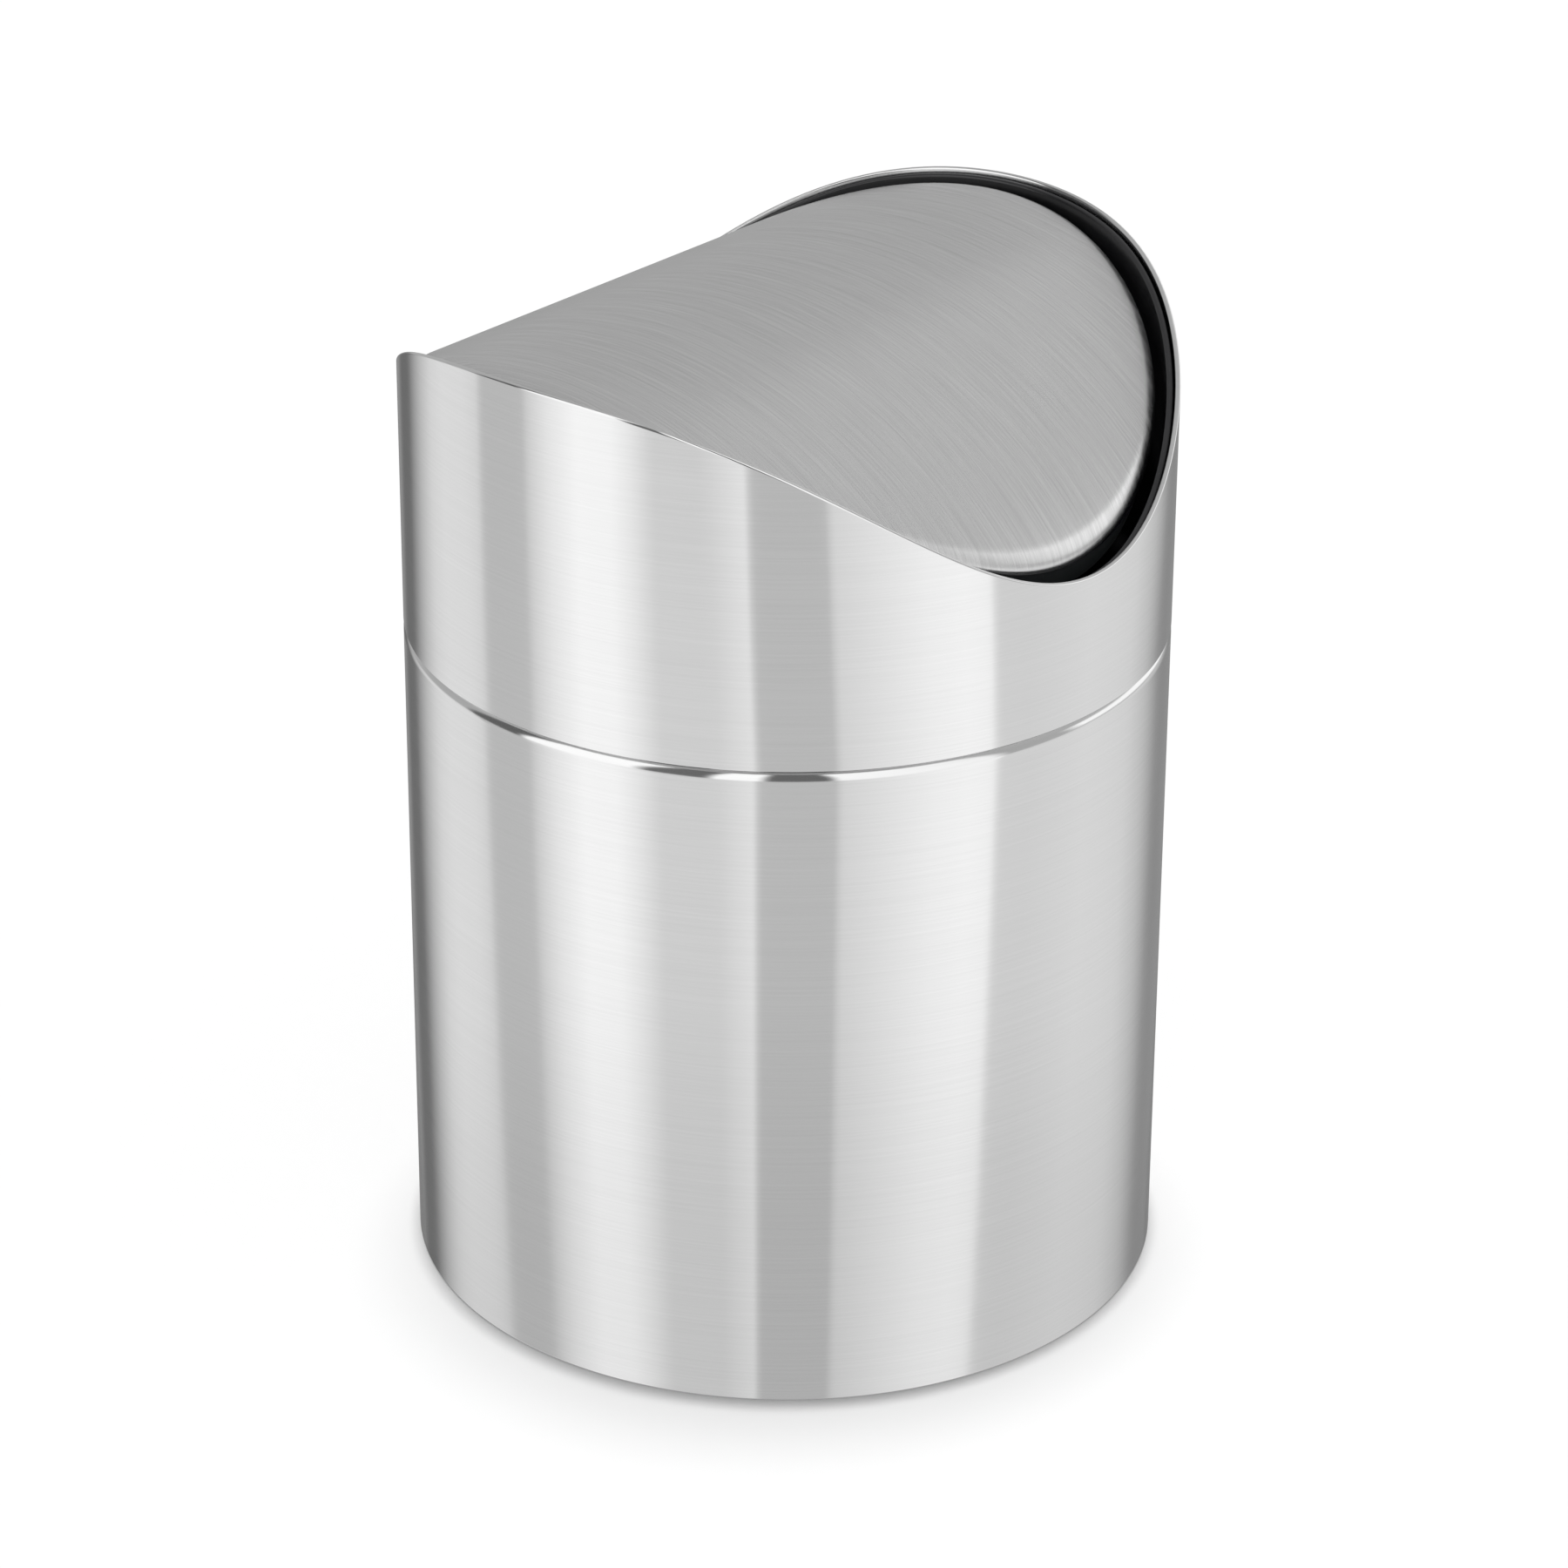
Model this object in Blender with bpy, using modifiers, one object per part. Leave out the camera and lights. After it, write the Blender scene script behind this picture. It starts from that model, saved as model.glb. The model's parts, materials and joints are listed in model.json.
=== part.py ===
"""Swing-lid table bin: a round steel body, a lift-off saddle-cut collar and an arched flap on two pins.

Metres, +Z up. The origin is the middle of the underside, and the flap's arch and pivot axis run along Y.
Front is the -Y end of the pivot axis and rear is the +Y end.
"""

import math

import bmesh
import bpy
from mathutils import Vector

# Overall sizes; the rises are from the collar's bottom edge to its rim
BODY_RADIUS = 0.060
BODY_TOP = 0.108
RIM_PEAK_RISE = 0.0547
RIM_LOW_RISE = 0.0226
RIM_FULLNESS = 0.0046

# Walls and clearances
SHEET = 0.0008
TOUCH_GAP = 0.0003
SLIDING_GAP = 0.0004

# Body shell: rolled shoulder at the top, flange turned in at the bottom
BODY_LIFT = 0.0004
ROLL_RADIUS = 0.0013
ROLL_LIP = 0.003
FOOT_BEND = 0.0002
FOOT_FLANGE = 0.0022

# Base pan and pad
PAN_FLANGE = 0.0075
PAN_CORNER = 0.0015
PAD_MARGIN = 0.0006

# Collar liner
LINER_WALL = 0.001
LINER_SETBACK = 0.0008
SPIGOT_WALL = 0.0014
SPIGOT_DEPTH = 0.012
SPIGOT_TAPER = 0.0035
BOSS_RADIUS = 0.0046
BOSS_REACH = 0.0032

# Flap: an arch of one radius with a nearly round plan and its edge turned down. Its crown lies
# below the rim's peaks, and its sides stand above the rim's low points. It hangs a little off level,
# with its +X side down, because its weights sit that much to one side of its pivot.
FLAP_SIDE_GAP = 0.0014
FLAP_END_GAP = 0.0012
FLAP_SQUARENESS = 2.0
FLAP_HANG = 2.25
CROWN_DROP = 0.0015
SIDE_STAND = 0.005
FLAP_SHEET = 0.0007
FLAP_EDGE_RADIUS = 0.0012
FLAP_EDGE_DEPTH = 0.0022
FLAP_RINGS = 7
TRAY_WALL = 0.0012
TRAY_CORNER = 0.0005
TRAY_DEPTH = 0.006
TRAY_NOTCH_GAP = 0.0006

# Pivot
PIVOT_BELOW_CROWN = 0.0078
PIN_RADIUS = 0.0015
PIN_HEAD_RADIUS = 0.003
PIN_HEAD_LENGTH = 0.0012
BUSH_WALL = 0.0009
BUSH_FLANGE_RADIUS = 0.004
BUSH_FLANGE_LENGTH = 0.0008

# Lugs and counterweights
LUG_THICKNESS = 0.003
LUG_INSET = 0.0003
LUG_PLAY = 0.0018
LUG_NECK_HALF = 0.009
LUG_BELOW_PIVOT = 0.019
WEIGHT_WIDTH = 0.026
WEIGHT_HEIGHT = 0.009
WEIGHT_THICKNESS = 0.006
WEIGHT_MARGIN = 0.001
WEIGHT_BEVEL = 0.0006
WEIGHT_OFFSET = 0.00056
SCREW_RADIUS = 0.0013
SCREW_HEAD_RADIUS = 0.0028
SCREW_HEAD_LENGTH = 0.0016
SCREW_CROWN_RADIUS = 0.0017
SCREW_RIM_LENGTH = 0.0005

# Facets round a large and a small turned piece, along a quarter-round corner and a half-round edge
LARGE_STEPS = 64
SMALL_STEPS = 20
CORNER_STEPS = 2
HALF_ROUND_STEPS = 4
SMOOTH_ANGLE = 35

# Sizes that follow
FOOT_CORNER = SHEET + FOOT_BEND
COLLAR_BOTTOM = BODY_TOP + TOUCH_GAP
COLLAR_INNER = BODY_RADIUS - SHEET
RIM_PEAK = COLLAR_BOTTOM + RIM_PEAK_RISE
RIM_LOW = COLLAR_BOTTOM + RIM_LOW_RISE
NECK_RADIUS = BODY_RADIUS - 2 * ROLL_RADIUS
LINER_OUTER = COLLAR_INNER - TOUCH_GAP
LINER_INNER = LINER_OUTER - LINER_WALL
SPIGOT_OUTER = NECK_RADIUS - SLIDING_GAP
SPIGOT_INNER = SPIGOT_OUTER - SPIGOT_WALL
FLAP_HALF_WIDTH = LINER_INNER - FLAP_SIDE_GAP
FLAP_HALF_LENGTH = LINER_INNER - FLAP_END_GAP
FLAP_CROWN = RIM_PEAK - CROWN_DROP
ARCH_RISE = FLAP_CROWN - RIM_LOW - SIDE_STAND
ARCH_RADIUS = (FLAP_HALF_WIDTH**2 + ARCH_RISE**2) / (2 * ARCH_RISE)
TRAY_INSET = FLAP_SHEET + SLIDING_GAP
PIVOT_HEIGHT = FLAP_CROWN - PIVOT_BELOW_CROWN
BOSS_FACE = LINER_INNER - BOSS_REACH
BUSH_INNER = PIN_RADIUS + TOUCH_GAP
BUSH_OUTER = BUSH_INNER + BUSH_WALL
BUSH_FACE = BOSS_FACE - TOUCH_GAP - BUSH_FLANGE_LENGTH
LUG_OUTER_FACE = BUSH_FACE - LUG_PLAY
LUG_INNER_FACE = LUG_OUTER_FACE - LUG_THICKNESS
LUG_FOOT_HALF = WEIGHT_WIDTH / 2 + WEIGHT_MARGIN
WEIGHT_MIDDLE = PIVOT_HEIGHT - LUG_BELOW_PIVOT + WEIGHT_MARGIN + WEIGHT_HEIGHT / 2
WEIGHT_INNER_FACE = LUG_INNER_FACE - TOUCH_GAP - WEIGHT_THICKNESS

ENDS = (("front", -1), ("rear", 1))


def clear_scene():
    for item in list(bpy.data.objects):
        bpy.data.objects.remove(item, do_unlink=True)


def new_collection(name):
    collection = bpy.data.collections.new(name)
    bpy.context.scene.collection.children.link(collection)
    return collection


def new_material(name, colour, roughness, metallic):
    material = bpy.data.materials.new(name)
    material.use_nodes = True
    shader = material.node_tree.nodes["Principled BSDF"]
    shader.inputs["Base Color"].default_value = (*colour, 1.0)
    shader.inputs["Roughness"].default_value = roughness
    shader.inputs["Metallic"].default_value = metallic
    return material


def brushed_steel(name):
    return new_material(name, (0.72, 0.72, 0.72), 0.3, 1.0)


def black_plastic(name):
    return new_material(name, (0.015, 0.015, 0.016), 0.2, 0.0)


def add_object(name, mesh, collection, material=None):
    item = bpy.data.objects.new(name, mesh)
    collection.objects.link(item)
    if material:
        mesh.materials.append(material)
    return item


def add_empty(name, height, parent=None):
    empty = bpy.data.objects.new(name, None)
    bin_parts.objects.link(empty)
    empty.location = (0, 0, height)
    bpy.context.view_layer.update()
    if parent:
        attach(empty, parent)
    return empty


def attach(item, parent):
    """Parent an object without moving it."""
    bpy.context.view_layer.update()
    item.parent = parent
    item.matrix_parent_inverse = parent.matrix_world.inverted()


def as_cutter(item):
    item.hide_render = True
    item.display_type = "WIRE"
    return item


def arc(centre, radius, start, end, steps):
    """Points (radius, height) along an arc, from angle start to angle end in degrees."""
    points = []
    for step in range(steps + 1):
        angle = math.radians(start + (end - start) * step / steps)
        points.append((centre[0] + radius * math.cos(angle), centre[1] + radius * math.sin(angle)))
    return points


def turned(name, profile, collection, material=None, closed=False, steps=LARGE_STEPS):
    """Turn a profile of (radius, height) points, which runs down its outer side, round Z."""
    mesh = bpy.data.meshes.new(name)
    edges = [(index, index + 1) for index in range(len(profile) - 1)]
    if closed:
        edges.append((len(profile) - 1, 0))
    mesh.from_pydata([(radius, 0, height) for radius, height in profile], edges, [])
    item = add_object(name, mesh, collection, material)
    screw = item.modifiers.new("turn", "SCREW")
    screw.steps = steps
    screw.render_steps = steps
    screw.use_merge_vertices = True
    screw.merge_threshold = 0.00001
    screw.use_smooth_shade = True
    return item


def bake(item):
    """Keep the mesh that an object's modifiers make, and drop the modifiers."""
    graph = bpy.context.evaluated_depsgraph_get()
    material = item.data.materials[0] if item.data.materials else None
    mesh = bpy.data.meshes.new_from_object(item.evaluated_get(graph))
    item.modifiers.clear()
    item.data = mesh
    if material and not mesh.materials:
        mesh.materials.append(material)
    return item


def thicken(item, wall):
    """Give an open surface its wall, on the side away from its normals."""
    solidify = item.modifiers.new("wall", "SOLIDIFY")
    solidify.thickness = wall
    solidify.offset = -1.0
    solidify.use_even_offset = True


def boolean(item, other, operation):
    modifier = item.modifiers.new(operation.lower(), "BOOLEAN")
    modifier.operation = operation
    modifier.solver = "EXACT"
    modifier.object = other


def point_outwards(item, end):
    """Turn a piece made along +Z so that it runs along Y, away from the middle."""
    item.rotation_euler = (-end * math.pi / 2, 0, 0)


def long_cutter(name, radius, height):
    """A round cutter along Y, through both ends of the collar and out."""
    mesh = bpy.data.meshes.new(name)
    form = bmesh.new()
    bmesh.ops.create_cone(
        form,
        cap_ends=True,
        segments=SMALL_STEPS,
        radius1=radius,
        radius2=radius,
        depth=3 * BODY_RADIUS,
    )
    form.to_mesh(mesh)
    form.free()
    cutter = add_object(name, mesh, cutters)
    cutter.rotation_euler = (math.pi / 2, 0, 0)
    cutter.location = (0, 0, height)
    return as_cutter(cutter)


def rim_drop(x, y):
    """How far the saddle-cut rim lies below its peaks, which are at the ends of the Y axis."""
    across = math.atan2(x, y)
    return (RIM_PEAK - RIM_LOW) * math.sin(across) ** 2 - RIM_FULLNESS * math.sin(2 * across) ** 2


def cut_saddle(item):
    """Lower the upper edge of a ring to the rim's curve."""
    half_way_up = (COLLAR_BOTTOM + RIM_PEAK) / 2
    for vertex in item.data.vertices:
        if vertex.co.z > half_way_up:
            vertex.co.z -= rim_drop(vertex.co.x, vertex.co.y)


def arch_height(x):
    return FLAP_CROWN - ARCH_RADIUS + math.sqrt(ARCH_RADIUS**2 - x**2)


def press_to_arch(item):
    """Bend a round dish to the flap's arch and give it the flap's plan outline."""
    for vertex in item.data.vertices:
        x, y = vertex.co.x, vertex.co.y
        reach = math.hypot(x, y)
        if reach > 0:
            power = FLAP_SQUARENESS
            width_share = abs(x / reach / FLAP_HALF_WIDTH) ** power
            length_share = abs(y / reach / FLAP_HALF_LENGTH) ** power
            scale = (width_share + length_share) ** (-1 / power) / FLAP_HALF_WIDTH
            vertex.co.x = x * scale
            vertex.co.y = y * scale
        vertex.co.z += arch_height(vertex.co.x)


def make_body_shell():
    """Rolled tube with a rolled-in shoulder and a foot flange turned in under the pan."""
    roll_centre = (BODY_RADIUS - ROLL_RADIUS, BODY_TOP - ROLL_RADIUS)
    foot_centre = (BODY_RADIUS - FOOT_CORNER, BODY_LIFT + FOOT_CORNER)
    profile = [(NECK_RADIUS, roll_centre[1] - ROLL_LIP)]
    profile += arc(roll_centre, ROLL_RADIUS, 180, 0, HALF_ROUND_STEPS)
    profile += arc(foot_centre, FOOT_CORNER, 0, -90, CORNER_STEPS)
    profile.append((foot_centre[0] - FOOT_FLANGE, BODY_LIFT))
    shell = turned("body_shell", profile, bin_parts, brushed_steel("body_steel"))
    thicken(shell, SHEET)
    attach(shell, bin_base)


def make_base_pan():
    """Pressed dish that closes the bottom, its flange up against the shell."""
    outer = COLLAR_INNER - TOUCH_GAP
    underside = BODY_LIFT + SHEET + TOUCH_GAP
    profile = [(outer, underside + PAN_FLANGE)]
    corner_centre = (outer - PAN_CORNER, underside + PAN_CORNER)
    profile += arc(corner_centre, PAN_CORNER, 0, -90, CORNER_STEPS)
    profile.append((0, underside))
    pan = turned("base_pan", profile, bin_parts, brushed_steel("pan_steel"))
    thicken(pan, SHEET)
    attach(pan, bin_base)


def make_base_pad():
    """Soft disc under the pan, which stands a little proud of the shell."""
    radius = BODY_RADIUS - FOOT_CORNER - FOOT_FLANGE - PAD_MARGIN
    mesh = bpy.data.meshes.new("base_pad")
    form = bmesh.new()
    thickness = BODY_LIFT + SHEET
    bmesh.ops.create_cone(
        form,
        cap_ends=True,
        segments=LARGE_STEPS,
        radius1=radius,
        radius2=radius,
        depth=thickness,
    )
    form.to_mesh(mesh)
    form.free()
    pad = add_object("base_pad", mesh, bin_parts, new_material("pad_foam", (0.03, 0.03, 0.03), 0.9, 0.0))
    pad.location = (0, 0, thickness / 2)
    attach(pad, bin_base)


def make_collar_shell():
    """Steel ring with the saddle-cut, rounded rim."""
    crest = (BODY_RADIUS - SHEET / 2, RIM_PEAK - SHEET / 2)
    section = [(BODY_RADIUS, COLLAR_BOTTOM), (COLLAR_INNER, COLLAR_BOTTOM)]
    section += arc(crest, SHEET / 2, 180, 0, HALF_ROUND_STEPS)
    shell = turned("collar_shell", section, bin_parts, brushed_steel("collar_steel"), closed=True)
    cut_saddle(bake(shell))
    attach(shell, lid_seat)


def make_collar_liner():
    """Black lining of the collar, with the spigot that plugs into the body and two pivot bosses."""
    top = RIM_PEAK - LINER_SETBACK
    section = [
        (LINER_OUTER, top),
        (LINER_OUTER, COLLAR_BOTTOM),
        (SPIGOT_OUTER, COLLAR_BOTTOM),
        (SPIGOT_OUTER, BODY_TOP - SPIGOT_DEPTH),
        (SPIGOT_INNER, BODY_TOP - SPIGOT_DEPTH),
        (SPIGOT_INNER, COLLAR_BOTTOM),
        (LINER_INNER, COLLAR_BOTTOM + SPIGOT_TAPER),
        (LINER_INNER, top),
    ]
    liner = turned("collar_liner", section, bin_parts, black_plastic("liner_plastic"), closed=True)
    cut_saddle(bake(liner))
    root = LINER_OUTER - LINER_WALL / 2
    for end, side in ENDS:
        mesh = bpy.data.meshes.new("boss_" + end)
        form = bmesh.new()
        bmesh.ops.create_cone(
            form,
            cap_ends=True,
            segments=SMALL_STEPS,
            radius1=BOSS_RADIUS,
            radius2=BOSS_RADIUS,
            depth=root - BOSS_FACE,
        )
        form.to_mesh(mesh)
        form.free()
        boss = as_cutter(add_object("boss_" + end, mesh, cutters))
        boss.location = (0, side * (root + BOSS_FACE) / 2, PIVOT_HEIGHT)
        point_outwards(boss, side)
        boolean(liner, boss, "UNION")
    boolean(liner, long_cutter("bush_bore", BUSH_OUTER + TOUCH_GAP, PIVOT_HEIGHT), "DIFFERENCE")
    attach(liner, lid_seat)


def make_bush(end, side):
    """Flanged plain bearing in a boss of the liner."""
    flange_back = BOSS_FACE - TOUCH_GAP
    tail = LINER_OUTER - TOUCH_GAP
    section = [
        (BUSH_OUTER, tail),
        (BUSH_OUTER, flange_back),
        (BUSH_FLANGE_RADIUS, flange_back),
        (BUSH_FLANGE_RADIUS, BUSH_FACE),
        (BUSH_INNER, BUSH_FACE),
        (BUSH_INNER, tail),
    ]
    material = new_material("bush_acetal_" + end, (0.12, 0.12, 0.125), 0.45, 0.0)
    bush = turned("pivot_bush_" + end, section, bin_parts, material, True, SMALL_STEPS)
    bush.location = (0, 0, PIVOT_HEIGHT)
    point_outwards(bush, side)
    attach(bush, lid_seat)


def dish(name, edge_radius, depth, material):
    """The flap's outer surface: an arched sheet with a rounded edge and a skirt straight down.

    Its rings lie at equal turns of the arch, so that they come closer where the arch is steep.
    """
    flat = FLAP_HALF_WIDTH - edge_radius
    turn = math.asin(flat / ARCH_RADIUS) / FLAP_RINGS
    profile = [(ARCH_RADIUS * math.sin(turn * ring), 0) for ring in range(FLAP_RINGS)]
    profile += arc((flat, -edge_radius), edge_radius, 90, 0, CORNER_STEPS)
    profile.append((FLAP_HALF_WIDTH, -depth))
    item = turned(name, profile, bin_parts, material)
    press_to_arch(bake(item))
    return item


def make_flap_skin():
    """Arched steel top of the flap, its edge turned down."""
    skin = dish("flap_skin", FLAP_EDGE_RADIUS, FLAP_EDGE_DEPTH, brushed_steel("flap_steel"))
    thicken(skin, FLAP_SHEET)
    attach(skin, flap_pivot)


def make_lug(end, side):
    """Plate that hangs from the tray and carries a pin and a counterweight."""
    top = arch_height(LUG_NECK_HALF) - TRAY_INSET - LUG_INSET
    bottom = PIVOT_HEIGHT - LUG_BELOW_PIVOT
    shoulder = bottom + WEIGHT_HEIGHT + 2 * WEIGHT_MARGIN
    neck = shoulder + LUG_FOOT_HALF - LUG_NECK_HALF
    half = [(LUG_NECK_HALF, top), (LUG_NECK_HALF, neck), (LUG_FOOT_HALF, shoulder), (LUG_FOOT_HALF, bottom)]
    outline = half + [(-x, z) for x, z in reversed(half)]
    curve = bpy.data.curves.new("lug_" + end, "CURVE")
    curve.dimensions = "2D"
    curve.fill_mode = "BOTH"
    curve.extrude = LUG_THICKNESS / 2
    spline = curve.splines.new("POLY")
    spline.points.add(len(outline) - 1)
    for point, (x, z) in zip(spline.points, outline):
        point.co = (x, z, 0, 1)
    spline.use_cyclic_u = True
    flat = bpy.data.objects.new("lug_outline_" + end, curve)
    cutters.objects.link(flat)
    flat.rotation_euler = (math.pi / 2, 0, 0)
    flat.location = (0, side * (LUG_OUTER_FACE + LUG_INNER_FACE) / 2, 0)
    bpy.context.view_layer.update()
    mesh = bpy.data.meshes.new_from_object(flat.evaluated_get(bpy.context.evaluated_depsgraph_get()))
    form = bmesh.new()
    form.from_mesh(mesh)
    bmesh.ops.remove_doubles(form, verts=form.verts, dist=0.00001)
    bmesh.ops.recalc_face_normals(form, faces=form.faces)
    form.to_mesh(mesh)
    form.free()
    lug = as_cutter(add_object("lug_" + end, mesh, cutters))
    lug.matrix_world = flat.matrix_world.copy()
    bpy.data.objects.remove(flat)
    attach(lug, flap_pivot)
    return lug


def make_notch(end, side):
    """Round cutter that clears the boss and the bush where the tray's skirt passes over them."""
    inner = BUSH_FACE - TOUCH_GAP
    outer = BODY_RADIUS
    mesh = bpy.data.meshes.new("notch_" + end)
    form = bmesh.new()
    bmesh.ops.create_cone(
        form,
        cap_ends=True,
        segments=SMALL_STEPS,
        radius1=BOSS_RADIUS + TRAY_NOTCH_GAP,
        radius2=BOSS_RADIUS + TRAY_NOTCH_GAP,
        depth=outer - inner,
    )
    form.to_mesh(mesh)
    form.free()
    notch = as_cutter(add_object("notch_" + end, mesh, cutters))
    notch.location = (0, side * (outer + inner) / 2, PIVOT_HEIGHT)
    point_outwards(notch, side)
    attach(notch, flap_pivot)
    return notch


def make_flap_tray():
    """Dark underside of the flap, whose skirt shows below the steel, with its two lugs."""
    edge_radius = TRAY_INSET + TRAY_WALL + TRAY_CORNER
    tray = dish("flap_tray", edge_radius, TRAY_DEPTH, black_plastic("tray_plastic"))
    inset = tray.modifiers.new("inset", "DISPLACE")
    inset.direction = "NORMAL"
    inset.mid_level = 0.0
    inset.strength = -TRAY_INSET
    thicken(tray, TRAY_WALL)
    for end, side in ENDS:
        boolean(tray, make_lug(end, side), "UNION")
        boolean(tray, make_notch(end, side), "DIFFERENCE")
    pin_bore = long_cutter("pin_bore", PIN_RADIUS + TOUCH_GAP, PIVOT_HEIGHT)
    attach(pin_bore, flap_pivot)
    boolean(tray, pin_bore, "DIFFERENCE")
    boolean(tray, screw_bore, "DIFFERENCE")
    attach(tray, flap_pivot)


def make_pin(end, side):
    """Headed stub pin, from inside the lug out into the bush."""
    head_back = LUG_INNER_FACE - TOUCH_GAP
    tip = LINER_OUTER - TOUCH_GAP
    profile = [
        (0, tip),
        (PIN_RADIUS, tip),
        (PIN_RADIUS, head_back),
        (PIN_HEAD_RADIUS, head_back),
        (PIN_HEAD_RADIUS, head_back - PIN_HEAD_LENGTH),
        (0, head_back - PIN_HEAD_LENGTH),
    ]
    material = new_material("pin_steel_" + end, (0.6, 0.6, 0.61), 0.25, 1.0)
    pin = turned("pivot_pin_" + end, profile, bin_parts, material, steps=SMALL_STEPS)
    pin.location = (0, 0, PIVOT_HEIGHT)
    point_outwards(pin, side)
    attach(pin, flap_pivot)


def make_counterweight(end, side):
    """Steel block on the inside of a lug, below the pin."""
    mesh = bpy.data.meshes.new("counterweight_" + end)
    form = bmesh.new()
    bmesh.ops.create_cube(form, size=1.0)
    bmesh.ops.scale(form, vec=Vector((WEIGHT_WIDTH, WEIGHT_THICKNESS, WEIGHT_HEIGHT)), verts=form.verts)
    form.to_mesh(mesh)
    form.free()
    material = new_material("weight_steel_" + end, (0.45, 0.45, 0.46), 0.4, 1.0)
    block = add_object("counterweight_" + end, mesh, bin_parts, material)
    middle = WEIGHT_INNER_FACE + WEIGHT_THICKNESS / 2
    block.location = (WEIGHT_OFFSET, side * middle, WEIGHT_MIDDLE)
    bevel = block.modifiers.new("edges", "BEVEL")
    bevel.width = WEIGHT_BEVEL
    bevel.segments = 1
    boolean(block, screw_bore, "DIFFERENCE")
    attach(block, flap_pivot)


def make_screw(end, side):
    """Pan-head screw through a counterweight into its lug."""
    head_back = WEIGHT_INNER_FACE - TOUCH_GAP
    crown = head_back - SCREW_HEAD_LENGTH
    tip = LUG_OUTER_FACE - TOUCH_GAP
    profile = [
        (0, tip),
        (SCREW_RADIUS, tip),
        (SCREW_RADIUS, head_back),
        (SCREW_HEAD_RADIUS, head_back),
        (SCREW_HEAD_RADIUS, head_back - SCREW_RIM_LENGTH),
        (SCREW_CROWN_RADIUS, crown),
        (0, crown),
    ]
    material = new_material("screw_steel_" + end, (0.55, 0.55, 0.56), 0.3, 1.0)
    screw = turned("counterweight_screw_" + end, profile, bin_parts, material, steps=SMALL_STEPS)
    screw.location = (0, 0, WEIGHT_MIDDLE)
    point_outwards(screw, side)
    attach(screw, flap_pivot)


def shade_round_pieces():
    for item in bin_parts.objects:
        if item.type == "MESH":
            item.data.shade_smooth()
            item.data.set_sharp_from_angle(angle=math.radians(SMOOTH_ANGLE))


clear_scene()
bin_parts = new_collection("swing_lid_table_bin")
cutters = new_collection("cutters")
bin_base = add_empty("bin_base", 0)
lid_seat = add_empty("lid_seat", COLLAR_BOTTOM, bin_base)
flap_pivot = add_empty("flap_pivot", PIVOT_HEIGHT, lid_seat)
screw_bore = long_cutter("screw_bore", SCREW_RADIUS + TOUCH_GAP, WEIGHT_MIDDLE)
attach(screw_bore, flap_pivot)

make_body_shell()
make_base_pan()
make_base_pad()
make_collar_shell()
make_collar_liner()
make_flap_skin()
make_flap_tray()
for end_name, end_side in ENDS:
    make_bush(end_name, end_side)
    make_pin(end_name, end_side)
    make_counterweight(end_name, end_side)
    make_screw(end_name, end_side)
flap_pivot.rotation_euler = (0, math.radians(FLAP_HANG), 0)
shade_round_pieces()
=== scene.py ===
import json
import math

import bmesh
import bpy
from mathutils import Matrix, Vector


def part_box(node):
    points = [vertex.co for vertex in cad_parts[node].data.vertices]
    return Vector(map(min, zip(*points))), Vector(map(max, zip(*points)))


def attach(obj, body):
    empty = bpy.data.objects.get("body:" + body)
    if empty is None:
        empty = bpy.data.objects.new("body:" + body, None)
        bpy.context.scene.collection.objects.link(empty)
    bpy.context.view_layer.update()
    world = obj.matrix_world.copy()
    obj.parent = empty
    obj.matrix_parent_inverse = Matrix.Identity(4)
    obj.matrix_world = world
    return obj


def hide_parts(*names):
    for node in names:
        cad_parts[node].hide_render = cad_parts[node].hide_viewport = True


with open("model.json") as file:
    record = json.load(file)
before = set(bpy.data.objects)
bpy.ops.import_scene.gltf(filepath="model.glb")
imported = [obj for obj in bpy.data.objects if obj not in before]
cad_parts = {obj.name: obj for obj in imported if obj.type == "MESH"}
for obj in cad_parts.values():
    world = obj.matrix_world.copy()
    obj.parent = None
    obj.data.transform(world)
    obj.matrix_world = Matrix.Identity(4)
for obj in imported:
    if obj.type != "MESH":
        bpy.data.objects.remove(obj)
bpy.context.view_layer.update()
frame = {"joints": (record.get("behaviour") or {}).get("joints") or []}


# Body shell
# A tube rolled and welded from stainless sheet and brushed round with a belt. Its top edge is rolled
# in to a polished bead, which the lid sits over, and its foot is turned in under the base pan.

SHEET = 0.0008
BEAD_RADIUS = 0.0018
BEAD_RISE = 0.00015
BEAD_LIP = 0.0025
FOOT_BEND = 0.00025
FOOT_FLANGE = 0.0022
FOOT_LIFT = 0.0001
ROUND_SIDES = 192
SHARP_ANGLE = 35


def only(piece):
    """Select one piece and make it active."""
    bpy.ops.object.select_all(action="DESELECT")
    piece.select_set(True)
    bpy.context.view_layer.objects.active = piece


def arc(centre, radius, start, end, steps):
    """Points (radius, height) round a centre, from angle start to angle end in degrees."""
    turns = [math.radians(start + (end - start) * step / steps) for step in range(steps + 1)]
    return [(centre[0] + radius * math.cos(turn), centre[1] + radius * math.sin(turn)) for turn in turns]


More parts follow.
